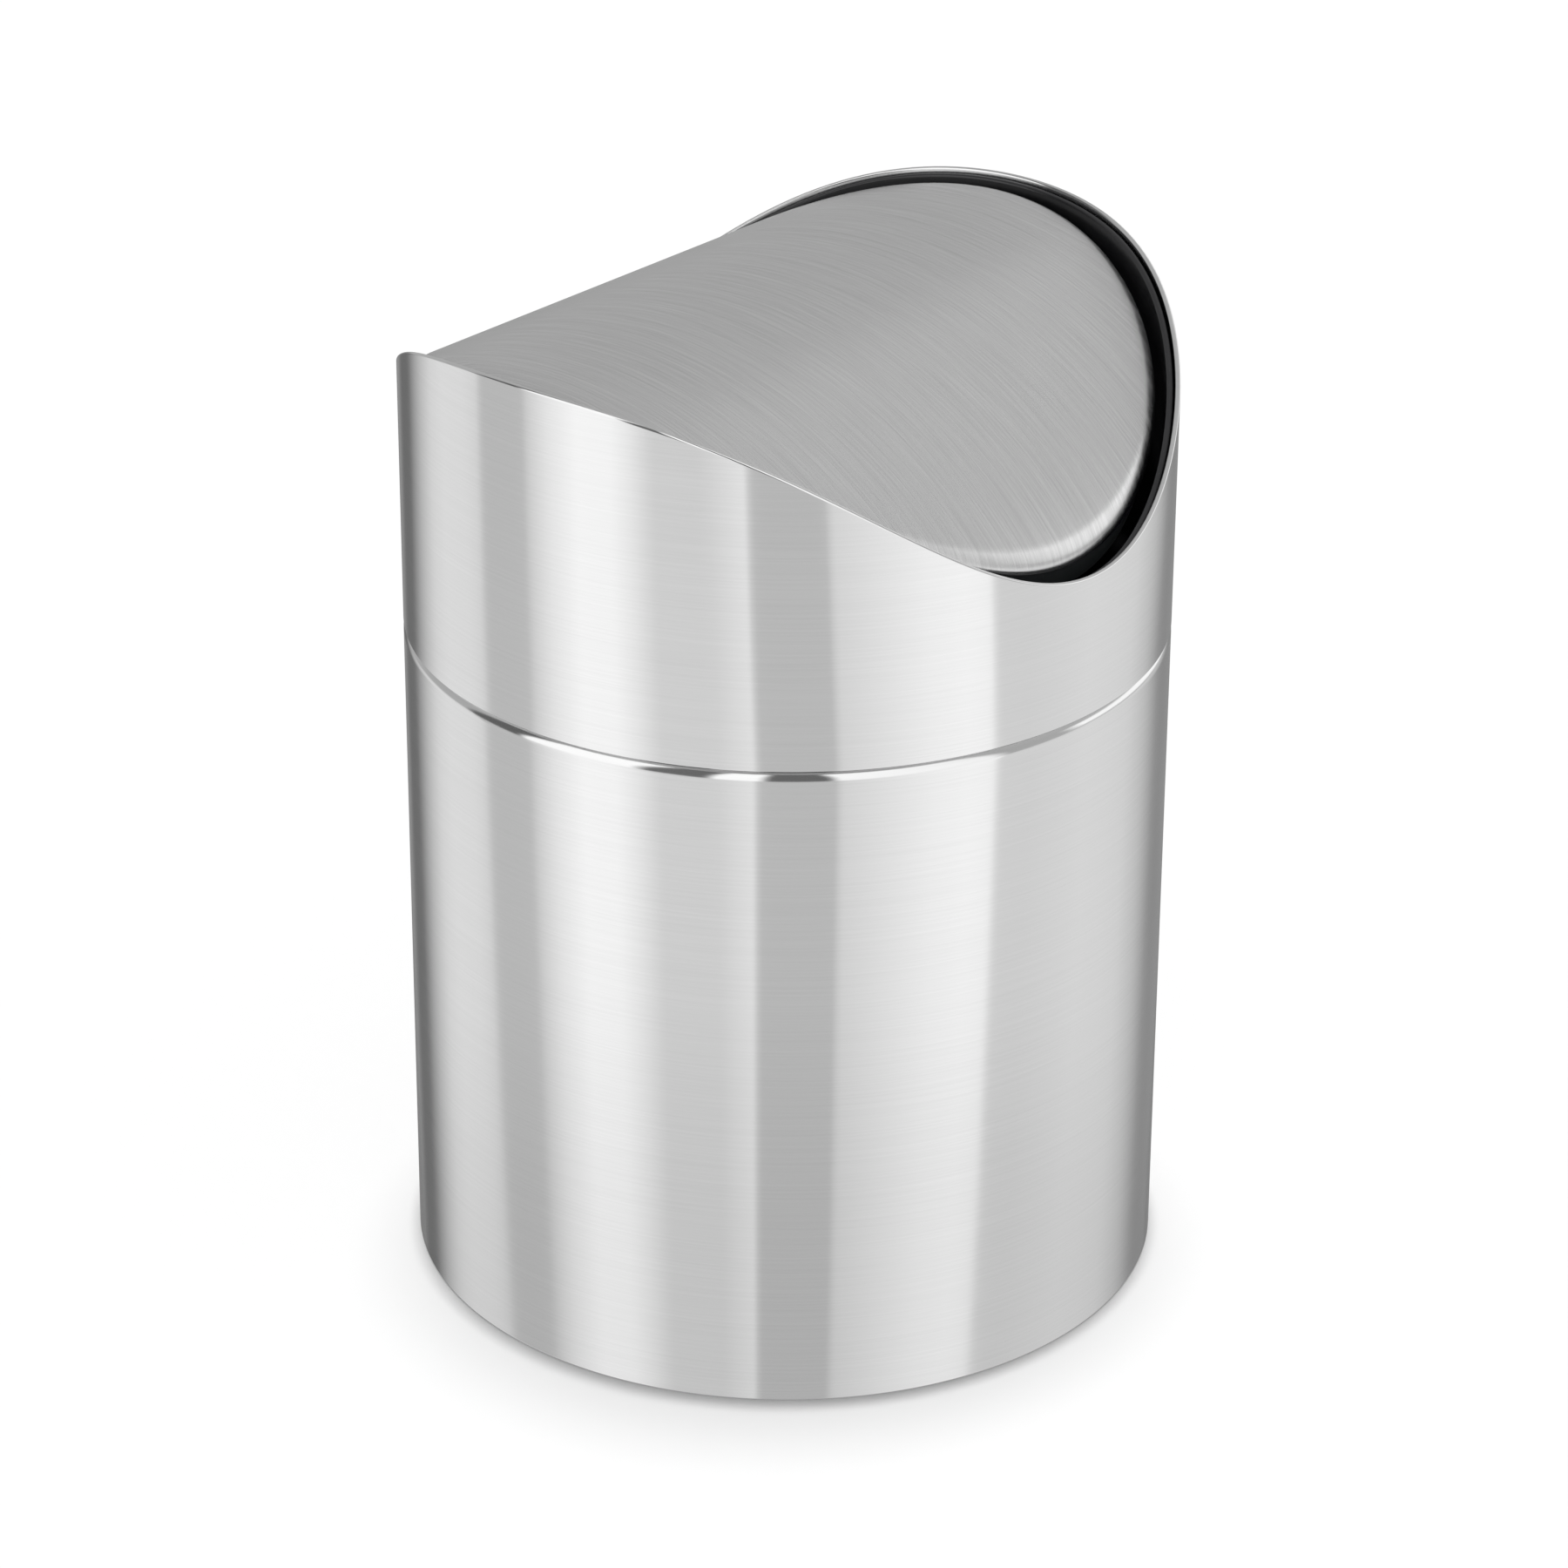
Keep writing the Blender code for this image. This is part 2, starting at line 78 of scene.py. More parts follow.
def raise_rings(name, profile, sides=ROUND_SIDES):
    """Draw a circle and pull it, ring after ring, along a profile of (radius, height) points."""
    bpy.ops.object.select_all(action="DESELECT")
    radius, height = profile[0]
    bpy.ops.mesh.primitive_circle_add(vertices=sides, radius=radius, location=(0, 0, height))
    piece = bpy.context.object
    piece.name = name
    bpy.ops.object.transform_apply(location=True, rotation=True, scale=True)
    bpy.ops.object.mode_set(mode="EDIT")
    bpy.ops.mesh.select_mode(type="VERT")
    bpy.ops.mesh.select_all(action="SELECT")
    for next_radius, next_height in profile[1:]:
        bpy.ops.mesh.extrude_region_move(TRANSFORM_OT_translate={"value": (0, 0, next_height - height)})
        if next_radius == 0:
            bpy.ops.mesh.merge(type="CENTER")
            break
        grow = next_radius / radius
        bpy.ops.transform.resize(value=(grow, grow, 1), center_override=(0, 0, next_height))
        radius, height = next_radius, next_height
    bpy.ops.mesh.select_all(action="SELECT")
    bpy.ops.mesh.remove_doubles(threshold=0.000002)
    bpy.ops.mesh.normals_make_consistent(inside=False)
    bpy.ops.object.mode_set(mode="OBJECT")
    return piece


def apply_modifiers(piece):
    """Make every modifier of a piece part of its mesh."""
    only(piece)
    for modifier in list(piece.modifiers):
        bpy.ops.object.modifier_apply(modifier=modifier.name)


def thicken(piece, wall):
    """Give a surface its wall, on its inner side."""
    solidify = piece.modifiers.new("wall", "SOLIDIFY")
    solidify.thickness = wall
    solidify.offset = -1
    solidify.use_even_offset = True
    apply_modifiers(piece)


def smooth(piece):
    """Shade a piece smooth, and keep its sharp edges."""
    only(piece)
    bpy.ops.object.shade_smooth_by_angle(angle=math.radians(SHARP_ANGLE))


def new_group(name, inputs, outputs):
    """An empty shader node group with named sockets, and its two end nodes."""
    tree = bpy.data.node_groups.new(name, "ShaderNodeTree")
    for title, kind, value in inputs:
        socket = tree.interface.new_socket(title, in_out="INPUT", socket_type=kind)
        socket.default_value = value
    for title, kind in outputs:
        tree.interface.new_socket(title, in_out="OUTPUT", socket_type=kind)
    return tree, tree.nodes.new("NodeGroupInput"), tree.nodes.new("NodeGroupOutput")


def make_brush_lines():
    """Fine belt lines and broader streaks. Stretch is the lines per metre along each axis."""
    tree, start, end = new_group(
        "brush_lines",
        [("Position", "NodeSocketVector", (0, 0, 0)), ("Stretch", "NodeSocketVector", (50, 50, 2000))],
        [("Lines", "NodeSocketFloat"), ("Streaks", "NodeSocketFloat")],
    )
    stretched = tree.nodes.new("ShaderNodeVectorMath")
    stretched.operation = "MULTIPLY"
    tree.links.new(start.outputs["Position"], stretched.inputs[0])
    tree.links.new(start.outputs["Stretch"], stretched.inputs[1])
    for title, scale, detail in (("Lines", 1.0, 3.0), ("Streaks", 0.17, 1.0)):
        noise = tree.nodes.new("ShaderNodeTexNoise")
        noise.inputs["Scale"].default_value = scale
        noise.inputs["Detail"].default_value = detail
        noise.inputs["Roughness"].default_value = 0.6
        tree.links.new(stretched.outputs[0], noise.inputs["Vector"])
        tree.links.new(noise.outputs["Fac"], end.inputs[title])
    return tree


def new_material(name, **values):
    """A Principled material with constants on its own sockets, and its object coordinates."""
    material = bpy.data.materials.new(name)
    material.use_nodes = True
    shader = material.node_tree.nodes["Principled BSDF"]
    for title, value in values.items():
        shader.inputs[title.replace("_", " ")].default_value = value
    place = material.node_tree.nodes.new("ShaderNodeTexCoord")
    return material, material.node_tree, shader, place.outputs["Object"]


def vary(tree, mask, low, high, low_value, high_value):
    """Turn a mask into a value that runs from low_value to high_value."""
    span = tree.nodes.new("ShaderNodeMapRange")
    span.inputs["From Min"].default_value = low
    span.inputs["From Max"].default_value = high
    span.inputs["To Min"].default_value = low_value
    span.inputs["To Max"].default_value = high_value
    tree.links.new(mask, span.inputs["Value"])
    return span.outputs["Result"]


def tint(tree, mask, dark, light):
    """Mix two colours by a mask."""
    mix = tree.nodes.new("ShaderNodeMix")
    mix.data_type = "RGBA"
    mix.inputs["A"].default_value = (*dark, 1)
    mix.inputs["B"].default_value = (*light, 1)
    tree.links.new(mask, mix.inputs["Factor"])
    return mix.outputs["Result"]


def bump(tree, shader, height, distance):
    """Raise the surface by a height mask, by up to a distance in metres."""
    node = tree.nodes.new("ShaderNodeBump")
    node.inputs["Distance"].default_value = distance
    tree.links.new(height, node.inputs["Height"])
    tree.links.new(node.outputs["Normal"], shader.inputs["Normal"])


brush_lines = make_brush_lines()


def brushed_steel(name, dark, light, stretch, axis, rough, smoothest, line_depth):
    """Brushed stainless, its lines round an axis and its gloss drawn out across them."""
    material, tree, shader, place = new_material(name, Metallic=1.0, Anisotropic=1.0)
    shader.inputs["Anisotropic Rotation"].default_value = 0.25
    tangent = tree.nodes.new("ShaderNodeTangent")
    tangent.direction_type = "RADIAL"
    tangent.axis = axis
    tree.links.new(tangent.outputs["Tangent"], shader.inputs["Tangent"])
    lines = tree.nodes.new("ShaderNodeGroup")
    lines.node_tree = brush_lines
    lines.inputs["Stretch"].default_value = stretch
    tree.links.new(place, lines.inputs["Position"])
    shade = vary(tree, lines.outputs["Lines"], 0.3, 0.7, 0.0, 1.0)
    tree.links.new(tint(tree, shade, dark, light), shader.inputs["Base Color"])
    gloss = vary(tree, lines.outputs["Streaks"], 0.35, 0.65, smoothest, rough)
    tree.links.new(gloss, shader.inputs["Roughness"])
    bump(tree, shader, lines.outputs["Lines"], line_depth)
    return material


body_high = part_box("body_shell")[1]
body_radius = body_high.x
bead_centre = (body_radius - BEAD_RADIUS, body_high.z + BEAD_RISE - BEAD_RADIUS)
roll_in = (bead_centre[0], bead_centre[1] + BEAD_RADIUS - SHEET)
foot_centre = (body_radius - FOOT_BEND, FOOT_LIFT + FOOT_BEND)
flange_end = foot_centre[0] - FOOT_FLANGE
profile = [(roll_in[0] - SHEET, bead_centre[1] - BEAD_LIP)]
profile += arc(roll_in, SHEET, 180, 90, 6)[:-1]
profile += arc(bead_centre, BEAD_RADIUS, 90, 0, 16)
profile += arc(foot_centre, FOOT_BEND, 0, -90, 4)
profile += [(flange_end, FOOT_LIFT), (flange_end, FOOT_LIFT + SHEET)]
profile.append((body_radius - SHEET, FOOT_LIFT + SHEET))
profile += arc(bead_centre, BEAD_RADIUS - SHEET, 0, 90, 8)
profile += [(roll_in[0], bead_centre[1] - BEAD_LIP), profile[0]]
body_shell = raise_rings("body_shell_brushed", profile)
smooth(body_shell)
body_steel = brushed_steel(
    "body_steel", (0.705, 0.705, 0.705), (0.735, 0.735, 0.735), (30, 30, 3600), "Z", 0.115, 0.10, 0.0000007
)
body_shell.data.materials.append(body_steel)
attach(body_shell, "bin")
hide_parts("body_shell")


# Base pan
# A shallow pressed dish of the same sheet, its flange spot-welded up inside the body. A pressed ring
# keeps the floor from drumming.

PAN_CORNER = 0.0015
PAN_RING_RADIUS = 0.044
PAN_RING_WIDTH = 0.002
PAN_RING_RISE = 0.0006
PAN_RING_STEPS = 12
PAN_FLAT_RADIUS = 0.02

pan_low, pan_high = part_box("base_pan")
corner_centre = (pan_high.x - PAN_CORNER, pan_low.z + PAN_CORNER)
profile = [(pan_high.x, pan_high.z)]
profile += arc(corner_centre, PAN_CORNER, 0, -90, 8)
for step in range(PAN_RING_STEPS + 1):
    share = step / PAN_RING_STEPS
    lift = PAN_RING_RISE * math.sin(math.pi * share) ** 2
    profile.append((PAN_RING_RADIUS + PAN_RING_WIDTH * (1 - 2 * share), pan_low.z + lift))
profile += [(PAN_FLAT_RADIUS, pan_low.z), (0, pan_low.z)]
base_pan = raise_rings("base_pan_pressed", profile)
thicken(base_pan, SHEET)
smooth(base_pan)
pan_steel = brushed_steel(
    "pan_steel", (0.60, 0.60, 0.60), (0.68, 0.68, 0.68), (900, 60, 900), "Y", 0.34, 0.26, 0.000002
)
base_pan.data.materials.append(pan_steel)
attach(base_pan, "bin")
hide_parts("base_pan")


# Base pad
# A die-cut disc of black foam rubber, glued under the pan. It stands a little proud of the steel foot
# and keeps it off the table.

PAD_EDGE = 0.0003
FOAM_CELLS = 2500
FOAM_PITS = 0.0001

pad_low, pad_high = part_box("base_pad")
bpy.ops.object.select_all(action="DESELECT")
bpy.ops.mesh.primitive_cylinder_add(
    vertices=ROUND_SIDES,
    radius=pad_high.x,
    depth=pad_high.z - pad_low.z,
    location=(0, 0, (pad_low.z + pad_high.z) / 2),
    end_fill_type="NGON",
)
base_pad = bpy.context.object
base_pad.name = "base_pad_foam"
bpy.ops.object.transform_apply(location=True, rotation=True, scale=True)
edges = base_pad.modifiers.new("edges", "BEVEL")
edges.width = PAD_EDGE
edges.segments = 3
apply_modifiers(base_pad)
smooth(base_pad)
foam, tree, shader, place = new_material("pad_foam", Roughness=0.85)
cells = tree.nodes.new("ShaderNodeTexVoronoi")
cells.inputs["Scale"].default_value = FOAM_CELLS
tree.links.new(place, cells.inputs["Vector"])
cell_shade = vary(tree, cells.outputs["Distance"], 0.0, 0.7, 0.0, 1.0)
foam_colour = tint(tree, cell_shade, (0.012, 0.012, 0.012), (0.04, 0.04, 0.04))
tree.links.new(foam_colour, shader.inputs["Base Color"])
bump(tree, shader, cells.outputs["Distance"], FOAM_PITS)
base_pad.data.materials.append(foam)
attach(base_pad, "bin")
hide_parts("base_pad")


# Collar shell
# A short ring of the body's tube. Its upper edge is cut in a saddle, high at the two pivots and low
# between them, and rounded over. It is brushed with the body, so their lines match.

RIM_LOW_RISE = 0.0226
RIM_FULLNESS = 0.0046
EDGE_BREAK = 0.00008
SEAT_DROP = 0.0001

collar_low, collar_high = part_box("collar_shell")
rim_depth = collar_high.z - collar_low.z - RIM_LOW_RISE


def cut_saddle(piece):
    """Lower the upper edge of a ring to the rim's curve."""
    half_way_up = (collar_low.z + collar_high.z) / 2
    for vertex in piece.data.vertices:
        if vertex.co.z > half_way_up:
            across = math.atan2(vertex.co.x, vertex.co.y)
            fullness = RIM_FULLNESS * math.sin(2 * across) ** 2
            vertex.co.z -= rim_depth * math.sin(across) ** 2 - fullness


crest = (collar_high.x - SHEET / 2, collar_high.z - SHEET / 2)
inner_radius = collar_high.x - SHEET
seat = collar_low.z - SEAT_DROP
profile = [(collar_high.x, seat + EDGE_BREAK), (collar_high.x - EDGE_BREAK, seat)]
profile += [(inner_radius + EDGE_BREAK, seat), (inner_radius, seat + EDGE_BREAK)]
profile += arc(crest, SHEET / 2, 180, 0, 12)
profile.append(profile[0])
collar_shell = raise_rings("collar_shell_brushed", profile)
cut_saddle(collar_shell)
smooth(collar_shell)
collar_shell.data.materials.append(body_steel)
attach(collar_shell, "lid")
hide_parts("collar_shell")


# Collar liner
# A black moulding pressed into the collar. Its lower lip plugs into the body, and two bosses inside
# it take the flap's bushes.

LINER_WALL = 0.001
SPIGOT_OUTER = 0.0570
SPIGOT_WALL = 0.0014
SPIGOT_TAPER = 0.0035
LEAD_IN = 0.0005
BOSS_RADIUS = 0.0046
BOSS_REACH = 0.0032
BOSS_EDGE = 0.0005
BORE_RADIUS = 0.0030
DRILL_OVERRUN = 0.012
SMALL_SIDES = 64
ORANGE_PEEL = 0.00001
ENDS = (("front", -1), ("rear", 1))

liner_low, liner_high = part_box("collar_liner")
liner_inner = liner_high.x - LINER_WALL
spigot_inner = SPIGOT_OUTER - SPIGOT_WALL
pivot_height = frame["joints"][1]["pos_m"][2]


def add_rod(name, radius, inner_end, outer_end, side=1, height=pivot_height, edge=0.0):
    """A round rod along Y, between two distances from the middle."""
    bpy.ops.object.select_all(action="DESELECT")
    bpy.ops.mesh.primitive_cylinder_add(
        vertices=SMALL_SIDES,
        radius=radius,
        depth=outer_end - inner_end,
        location=(0, side * (inner_end + outer_end) / 2, height),
        rotation=(math.pi / 2, 0, 0),
    )
    rod = bpy.context.object
    rod.name = name
    bpy.ops.object.transform_apply(location=True, rotation=True, scale=True)
    if edge:
        bevel = rod.modifiers.new("edge", "BEVEL")
        bevel.width = edge
        bevel.segments = 4
        apply_modifiers(rod)
    return rod


def join_with(piece, tool, operation):
    """Weld a tool shape on to a piece, or cut the piece with it, and take the tool away."""
    boolean = piece.modifiers.new(operation.lower(), "BOOLEAN")
    boolean.operation = operation
    boolean.solver = "EXACT"
    boolean.object = tool
    apply_modifiers(piece)
    bpy.data.objects.remove(tool)


lip = (liner_high.x - LINER_WALL / 2, liner_high.z - LINER_WALL / 2)
profile = arc(lip, LINER_WALL / 2, 180, 0, 12)
profile += [(liner_high.x, collar_low.z), (SPIGOT_OUTER, collar_low.z)]
profile += [(SPIGOT_OUTER, liner_low.z + LEAD_IN), (SPIGOT_OUTER - LEAD_IN, liner_low.z)]
profile += [(spigot_inner, liner_low.z), (spigot_inner, collar_low.z)]
profile += [(liner_inner, collar_low.z + SPIGOT_TAPER), profile[0]]
collar_liner = raise_rings("collar_liner_moulded", profile)
cut_saddle(collar_liner)
for end, side in ENDS:
    boss_face = liner_inner - BOSS_REACH
    boss_root = liner_high.x - LINER_WALL / 2
    boss = add_rod("boss_" + end, BOSS_RADIUS, boss_face, boss_root, side, edge=BOSS_EDGE)
    join_with(collar_liner, boss, "UNION")
drill_reach = body_radius + DRILL_OVERRUN
bore = add_rod("bore", BORE_RADIUS, -drill_reach, drill_reach)
join_with(collar_liner, bore, "DIFFERENCE")
smooth(collar_liner)


def make_moulding_texture():
    """The faint orange peel and dust of a gloss moulding."""
    tree, start, end = new_group(
        "moulding_texture",
        [("Position", "NodeSocketVector", (0, 0, 0)), ("Grain", "NodeSocketFloat", 800.0)],
        [("Peel", "NodeSocketFloat"), ("Dust", "NodeSocketFloat")],
    )
    peel = tree.nodes.new("ShaderNodeTexNoise")
    peel.inputs["Detail"].default_value = 2.0
    tree.links.new(start.outputs["Position"], peel.inputs["Vector"])
    tree.links.new(start.outputs["Grain"], peel.inputs["Scale"])
    tree.links.new(peel.outputs["Fac"], end.inputs["Peel"])
    dust = tree.nodes.new("ShaderNodeTexNoise")
    dust.inputs["Scale"].default_value = 90.0
    dust.inputs["Detail"].default_value = 5.0
    dust.inputs["Roughness"].default_value = 0.7
    tree.links.new(start.outputs["Position"], dust.inputs["Vector"])
    tree.links.new(dust.outputs["Fac"], end.inputs["Dust"])
    return tree


moulding_texture = make_moulding_texture()


def plastic(name, dark, light, smoothest, rough, grain, depth):
    """A moulded plastic, a little duller and paler where dust lies."""
    material, tree, shader, place = new_material(name)
    texture = tree.nodes.new("ShaderNodeGroup")
    texture.node_tree = moulding_texture
    texture.inputs["Grain"].default_value = grain
    tree.links.new(place, texture.inputs["Position"])
    dust = vary(tree, texture.outputs["Dust"], 0.35, 0.7, 0.0, 1.0)
    tree.links.new(tint(tree, dust, dark, light), shader.inputs["Base Color"])
    gloss = vary(tree, texture.outputs["Dust"], 0.35, 0.7, smoothest, rough)
    tree.links.new(gloss, shader.inputs["Roughness"])
    bump(tree, shader, texture.outputs["Peel"], depth)
    return material


liner_plastic = plastic(
    "liner_plastic", (0.010, 0.010, 0.011), (0.016, 0.016, 0.017), 0.16, 0.24, 900, ORANGE_PEEL
)
collar_liner.data.materials.append(liner_plastic)
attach(collar_liner, "lid")
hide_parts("collar_liner")


# Pivot bushes
# Two flanged acetal bearings, pushed from the inside into the liner's bosses. The flap's pins turn in
# them without oil.

BUSH_BARREL = 0.0027
BUSH_BORE = 0.0018
BUSH_FLANGE = 0.0008
BUSH_EDGE = 0.00015


def lay_along_y(piece, side, height):
    """Lay a piece that was made standing along Y, pointing away from the middle."""
    piece.rotation_euler = (-side * math.pi / 2, 0, 0)
    piece.location = (0, 0, height)
    only(piece)
    bpy.ops.object.transform_apply(location=True, rotation=True, scale=True)


acetal = plastic(
    "bush_acetal", (0.10, 0.10, 0.105), (0.13, 0.13, 0.135), 0.40, 0.50, 1500, ORANGE_PEEL
)
for end, side in ENDS:
    low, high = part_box("pivot_bush_" + end)
    inner_end, outer_end = sorted((abs(low.y), abs(high.y)))
    flange = (high.x - low.x) / 2
    flange_back = inner_end + BUSH_FLANGE
    profile = [
        (BUSH_BARREL, outer_end - BUSH_EDGE),
        (BUSH_BARREL, flange_back),
        (flange - BUSH_EDGE, flange_back),
        (flange, flange_back - BUSH_EDGE),
        (flange, inner_end + BUSH_EDGE),
        (flange - BUSH_EDGE, inner_end),
        (BUSH_BORE + BUSH_EDGE, inner_end),
        (BUSH_BORE, inner_end + BUSH_EDGE),
        (BUSH_BORE, outer_end),
        (BUSH_BARREL - BUSH_EDGE, outer_end),
        (BUSH_BARREL, outer_end - BUSH_EDGE),
    ]
    bush = raise_rings("pivot_bush_" + end + "_turned", profile, SMALL_SIDES)
    lay_along_y(bush, side, pivot_height)
    smooth(bush)
    bush.data.materials.append(acetal)
    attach(bush, "lid")
    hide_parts("pivot_bush_" + end)


# Flap skin
# A stainless blank, brushed across, pressed to an arch with its edge rounded and turned down all the
# way round. It is crimped over the tray. The flap hangs a little off level, as its weights let it.

FLAP_SHEET = 0.0007
FLAP_SIDE_GAP = 0.0014
FLAP_END_GAP = 0.0012
FLAP_EDGE_RADIUS = 0.0018
FLAP_EDGE_DEPTH = 0.0022
FLAP_HANG = 2.25
CROWN_DROP = 0.0015
SIDE_STAND = 0.005
FLAP_RINGS = 40

flap_half_width = liner_inner - FLAP_SIDE_GAP
flap_half_length = liner_inner - FLAP_END_GAP
flap_crown = collar_high.z - CROWN_DROP
arch_rise = flap_crown - collar_low.z - RIM_LOW_RISE - SIDE_STAND
arch_radius = (flap_half_width**2 + arch_rise**2) / (2 * arch_rise)


def press_dish(name, edge_radius, depth):
    """The flap's form: an arch with a rounded edge and a skirt straight down, on a nearly round plan."""
    flat = flap_half_width - edge_radius
    turn = math.asin(flat / arch_radius) / FLAP_RINGS
    profile = [(flap_half_width, -depth)]
    profile += arc((flat, -edge_radius), edge_radius, 0, 90, 8)
    profile += [(arch_radius * math.sin(turn * ring), 0) for ring in range(FLAP_RINGS - 1, -1, -1)]
    piece = raise_rings(name, profile)
    for vertex in piece.data.vertices:
        vertex.co.y *= flap_half_length / flap_half_width
        vertex.co.z += flap_crown - arch_radius + math.sqrt(arch_radius**2 - vertex.co.x**2)
    return piece


def hang(piece):
    """Swing a piece of the flap, made level, to the angle that the flap hangs at."""
    swing = math.radians(FLAP_HANG)
    piece.rotation_euler = (0, swing, 0)
    piece.location = (-pivot_height * math.sin(swing), 0, pivot_height * (1 - math.cos(swing)))
    only(piece)
    bpy.ops.object.transform_apply(location=True, rotation=True, scale=True)


flap_skin = press_dish("flap_skin_brushed", FLAP_EDGE_RADIUS, FLAP_EDGE_DEPTH)
thicken(flap_skin, FLAP_SHEET)
hang(flap_skin)
smooth(flap_skin)
flap_steel = brushed_steel(
    "flap_steel", (0.65, 0.65, 0.65), (0.77, 0.77, 0.77), (70, 5200, 70), "Y", 0.25, 0.20, 0.0000015
)
flap_skin.data.materials.append(flap_steel)
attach(flap_skin, "flap")
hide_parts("flap_skin")


# Flap tray
# A black moulding that lines the flap and stiffens it, its colour lifted to a bluish slate grey as a
# painted reflection of the pale surroundings. Its skirt shows below the steel edge, and a lug at each
# end hangs down to carry a pin and a counterweight.

TRAY_INSET = 0.0011
TRAY_WALL = 0.0012
TRAY_CORNER = 0.0005
TRAY_DEPTH = 0.006
LUG_NECK_HALF = 0.009
LUG_THICKNESS = 0.003
LUG_EDGE = 0.0004
LUG_BELOW_PIVOT = 0.019
LUG_INSET = 0.0003
NOTCH_GAP = 0.0006
NOTCH_START = 0.0533
WEIGHT_MARGIN = 0.001
WEIGHT_WIDTH = 0.026
WEIGHT_HEIGHT = 0.009
WEIGHT_OFFSET = 0.00056
TOUCH_GAP = 0.0003
PIN_BORE = 0.0018
SCREW_BORE = 0.0016

flap_tray = press_dish("flap_tray_moulded", TRAY_INSET + TRAY_WALL + TRAY_CORNER, TRAY_DEPTH)
inset = flap_tray.modifiers.new("inset", "DISPLACE")
inset.direction = "NORMAL"
inset.mid_level = 0
inset.strength = -TRAY_INSET
apply_modifiers(flap_tray)
thicken(flap_tray, TRAY_WALL)

weight_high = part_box("counterweight_rear")[1]
lug_inner_face = weight_high.y + TOUCH_GAP
lug_outer_face = lug_inner_face + LUG_THICKNESS
lug_foot = pivot_height - LUG_BELOW_PIVOT
lug_foot_half = WEIGHT_WIDTH / 2 + WEIGHT_MARGIN
lug_shoulder = lug_foot + WEIGHT_HEIGHT + 2 * WEIGHT_MARGIN
lug_neck = lug_shoulder + lug_foot_half - LUG_NECK_HALF
lug_drop = arch_radius - math.sqrt(arch_radius**2 - LUG_NECK_HALF**2)
lug_top = flap_crown - lug_drop - TRAY_INSET - LUG_INSET
weight_middle = lug_foot + WEIGHT_MARGIN + WEIGHT_HEIGHT / 2


def pull_down(half_width, height, old_half_width, old_height):
    """Extrude the selected lower face down to a new height and width."""
    bpy.ops.mesh.extrude_region_move(TRANSFORM_OT_translate={"value": (0, 0, height - old_height)})
    bpy.ops.transform.resize(value=(half_width / old_half_width, 1, 1), center_override=(0, 0, height))


for end, side in ENDS:
    bpy.ops.object.select_all(action="DESELECT")
    middle = side * (lug_inner_face + lug_outer_face) / 2
    bpy.ops.mesh.primitive_cube_add(size=1, location=(0, middle, (lug_top + lug_neck) / 2))
    lug = bpy.context.object
    lug.name = "lug_" + end
    lug.scale = (2 * LUG_NECK_HALF, LUG_THICKNESS, lug_top - lug_neck)
    bpy.ops.object.transform_apply(location=True, rotation=True, scale=True)
    bpy.ops.object.mode_set(mode="EDIT")
    bpy.ops.mesh.select_mode(type="FACE")
    bpy.ops.mesh.select_all(action="DESELECT")
    form = bmesh.from_edit_mesh(lug.data)
    for face in form.faces:
        if face.normal.z < -0.5:
            face.select_set(True)
    bmesh.update_edit_mesh(lug.data)
    pull_down(lug_foot_half, lug_shoulder, LUG_NECK_HALF, lug_neck)
    pull_down(lug_foot_half, lug_foot, lug_foot_half, lug_shoulder)
    bpy.ops.mesh.select_all(action="SELECT")
    bpy.ops.mesh.normals_make_consistent(inside=False)
    bpy.ops.object.mode_set(mode="OBJECT")
    edge = lug.modifiers.new("edge", "BEVEL")
    edge.width = LUG_EDGE
    edge.segments = 3
    apply_modifiers(lug)
    join_with(flap_tray, lug, "UNION")
    notch = add_rod("notch_" + end, BOSS_RADIUS + NOTCH_GAP, NOTCH_START, body_radius, side)
    join_with(flap_tray, notch, "DIFFERENCE")
join_with(flap_tray, add_rod("pin_bore", PIN_BORE, -drill_reach, drill_reach), "DIFFERENCE")
screw_bore = add_rod("screw_bore", SCREW_BORE, -drill_reach, drill_reach, height=weight_middle)
join_with(flap_tray, screw_bore, "DIFFERENCE")
hang(flap_tray)
smooth(flap_tray)
# The moulding's black is lifted to a bluish slate grey: a painted reflection of the pale surroundings.
tray_plastic = plastic(
    "tray_plastic", (0.045, 0.050, 0.052), (0.060, 0.065, 0.068), 0.30, 0.42, 1200, ORANGE_PEEL
)
flap_tray.data.materials.append(tray_plastic)
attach(flap_tray, "flap")
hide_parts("flap_tray")


# Pivot pins
# Two headed pins turned from bright steel bar, pushed through the lugs from the inside into the
# bushes. The flap swings on them.

PIN_RADIUS = 0.0015
PIN_HEAD = 0.0012
PIN_EDGE = 0.0002
PIN_TIP_FLAT = 0.00075
PIN_HEAD_FLAT_SHARE = 0.6
TURNING_MARKS = 0.000003


def turned_steel(name, dark, light, stretch, smoothest, rough):
    """Plain steel with the fine marks that machining leaves."""
    material, tree, shader, place = new_material(name, Metallic=1.0)
    lines = tree.nodes.new("ShaderNodeGroup")
    lines.node_tree = brush_lines
    lines.inputs["Stretch"].default_value = stretch
    tree.links.new(place, lines.inputs["Position"])
    tree.links.new(tint(tree, lines.outputs["Streaks"], dark, light), shader.inputs["Base Color"])
    gloss = vary(tree, lines.outputs["Lines"], 0.3, 0.7, smoothest, rough)
    tree.links.new(gloss, shader.inputs["Roughness"])
    bump(tree, shader, lines.outputs["Lines"], TURNING_MARKS)
    return material


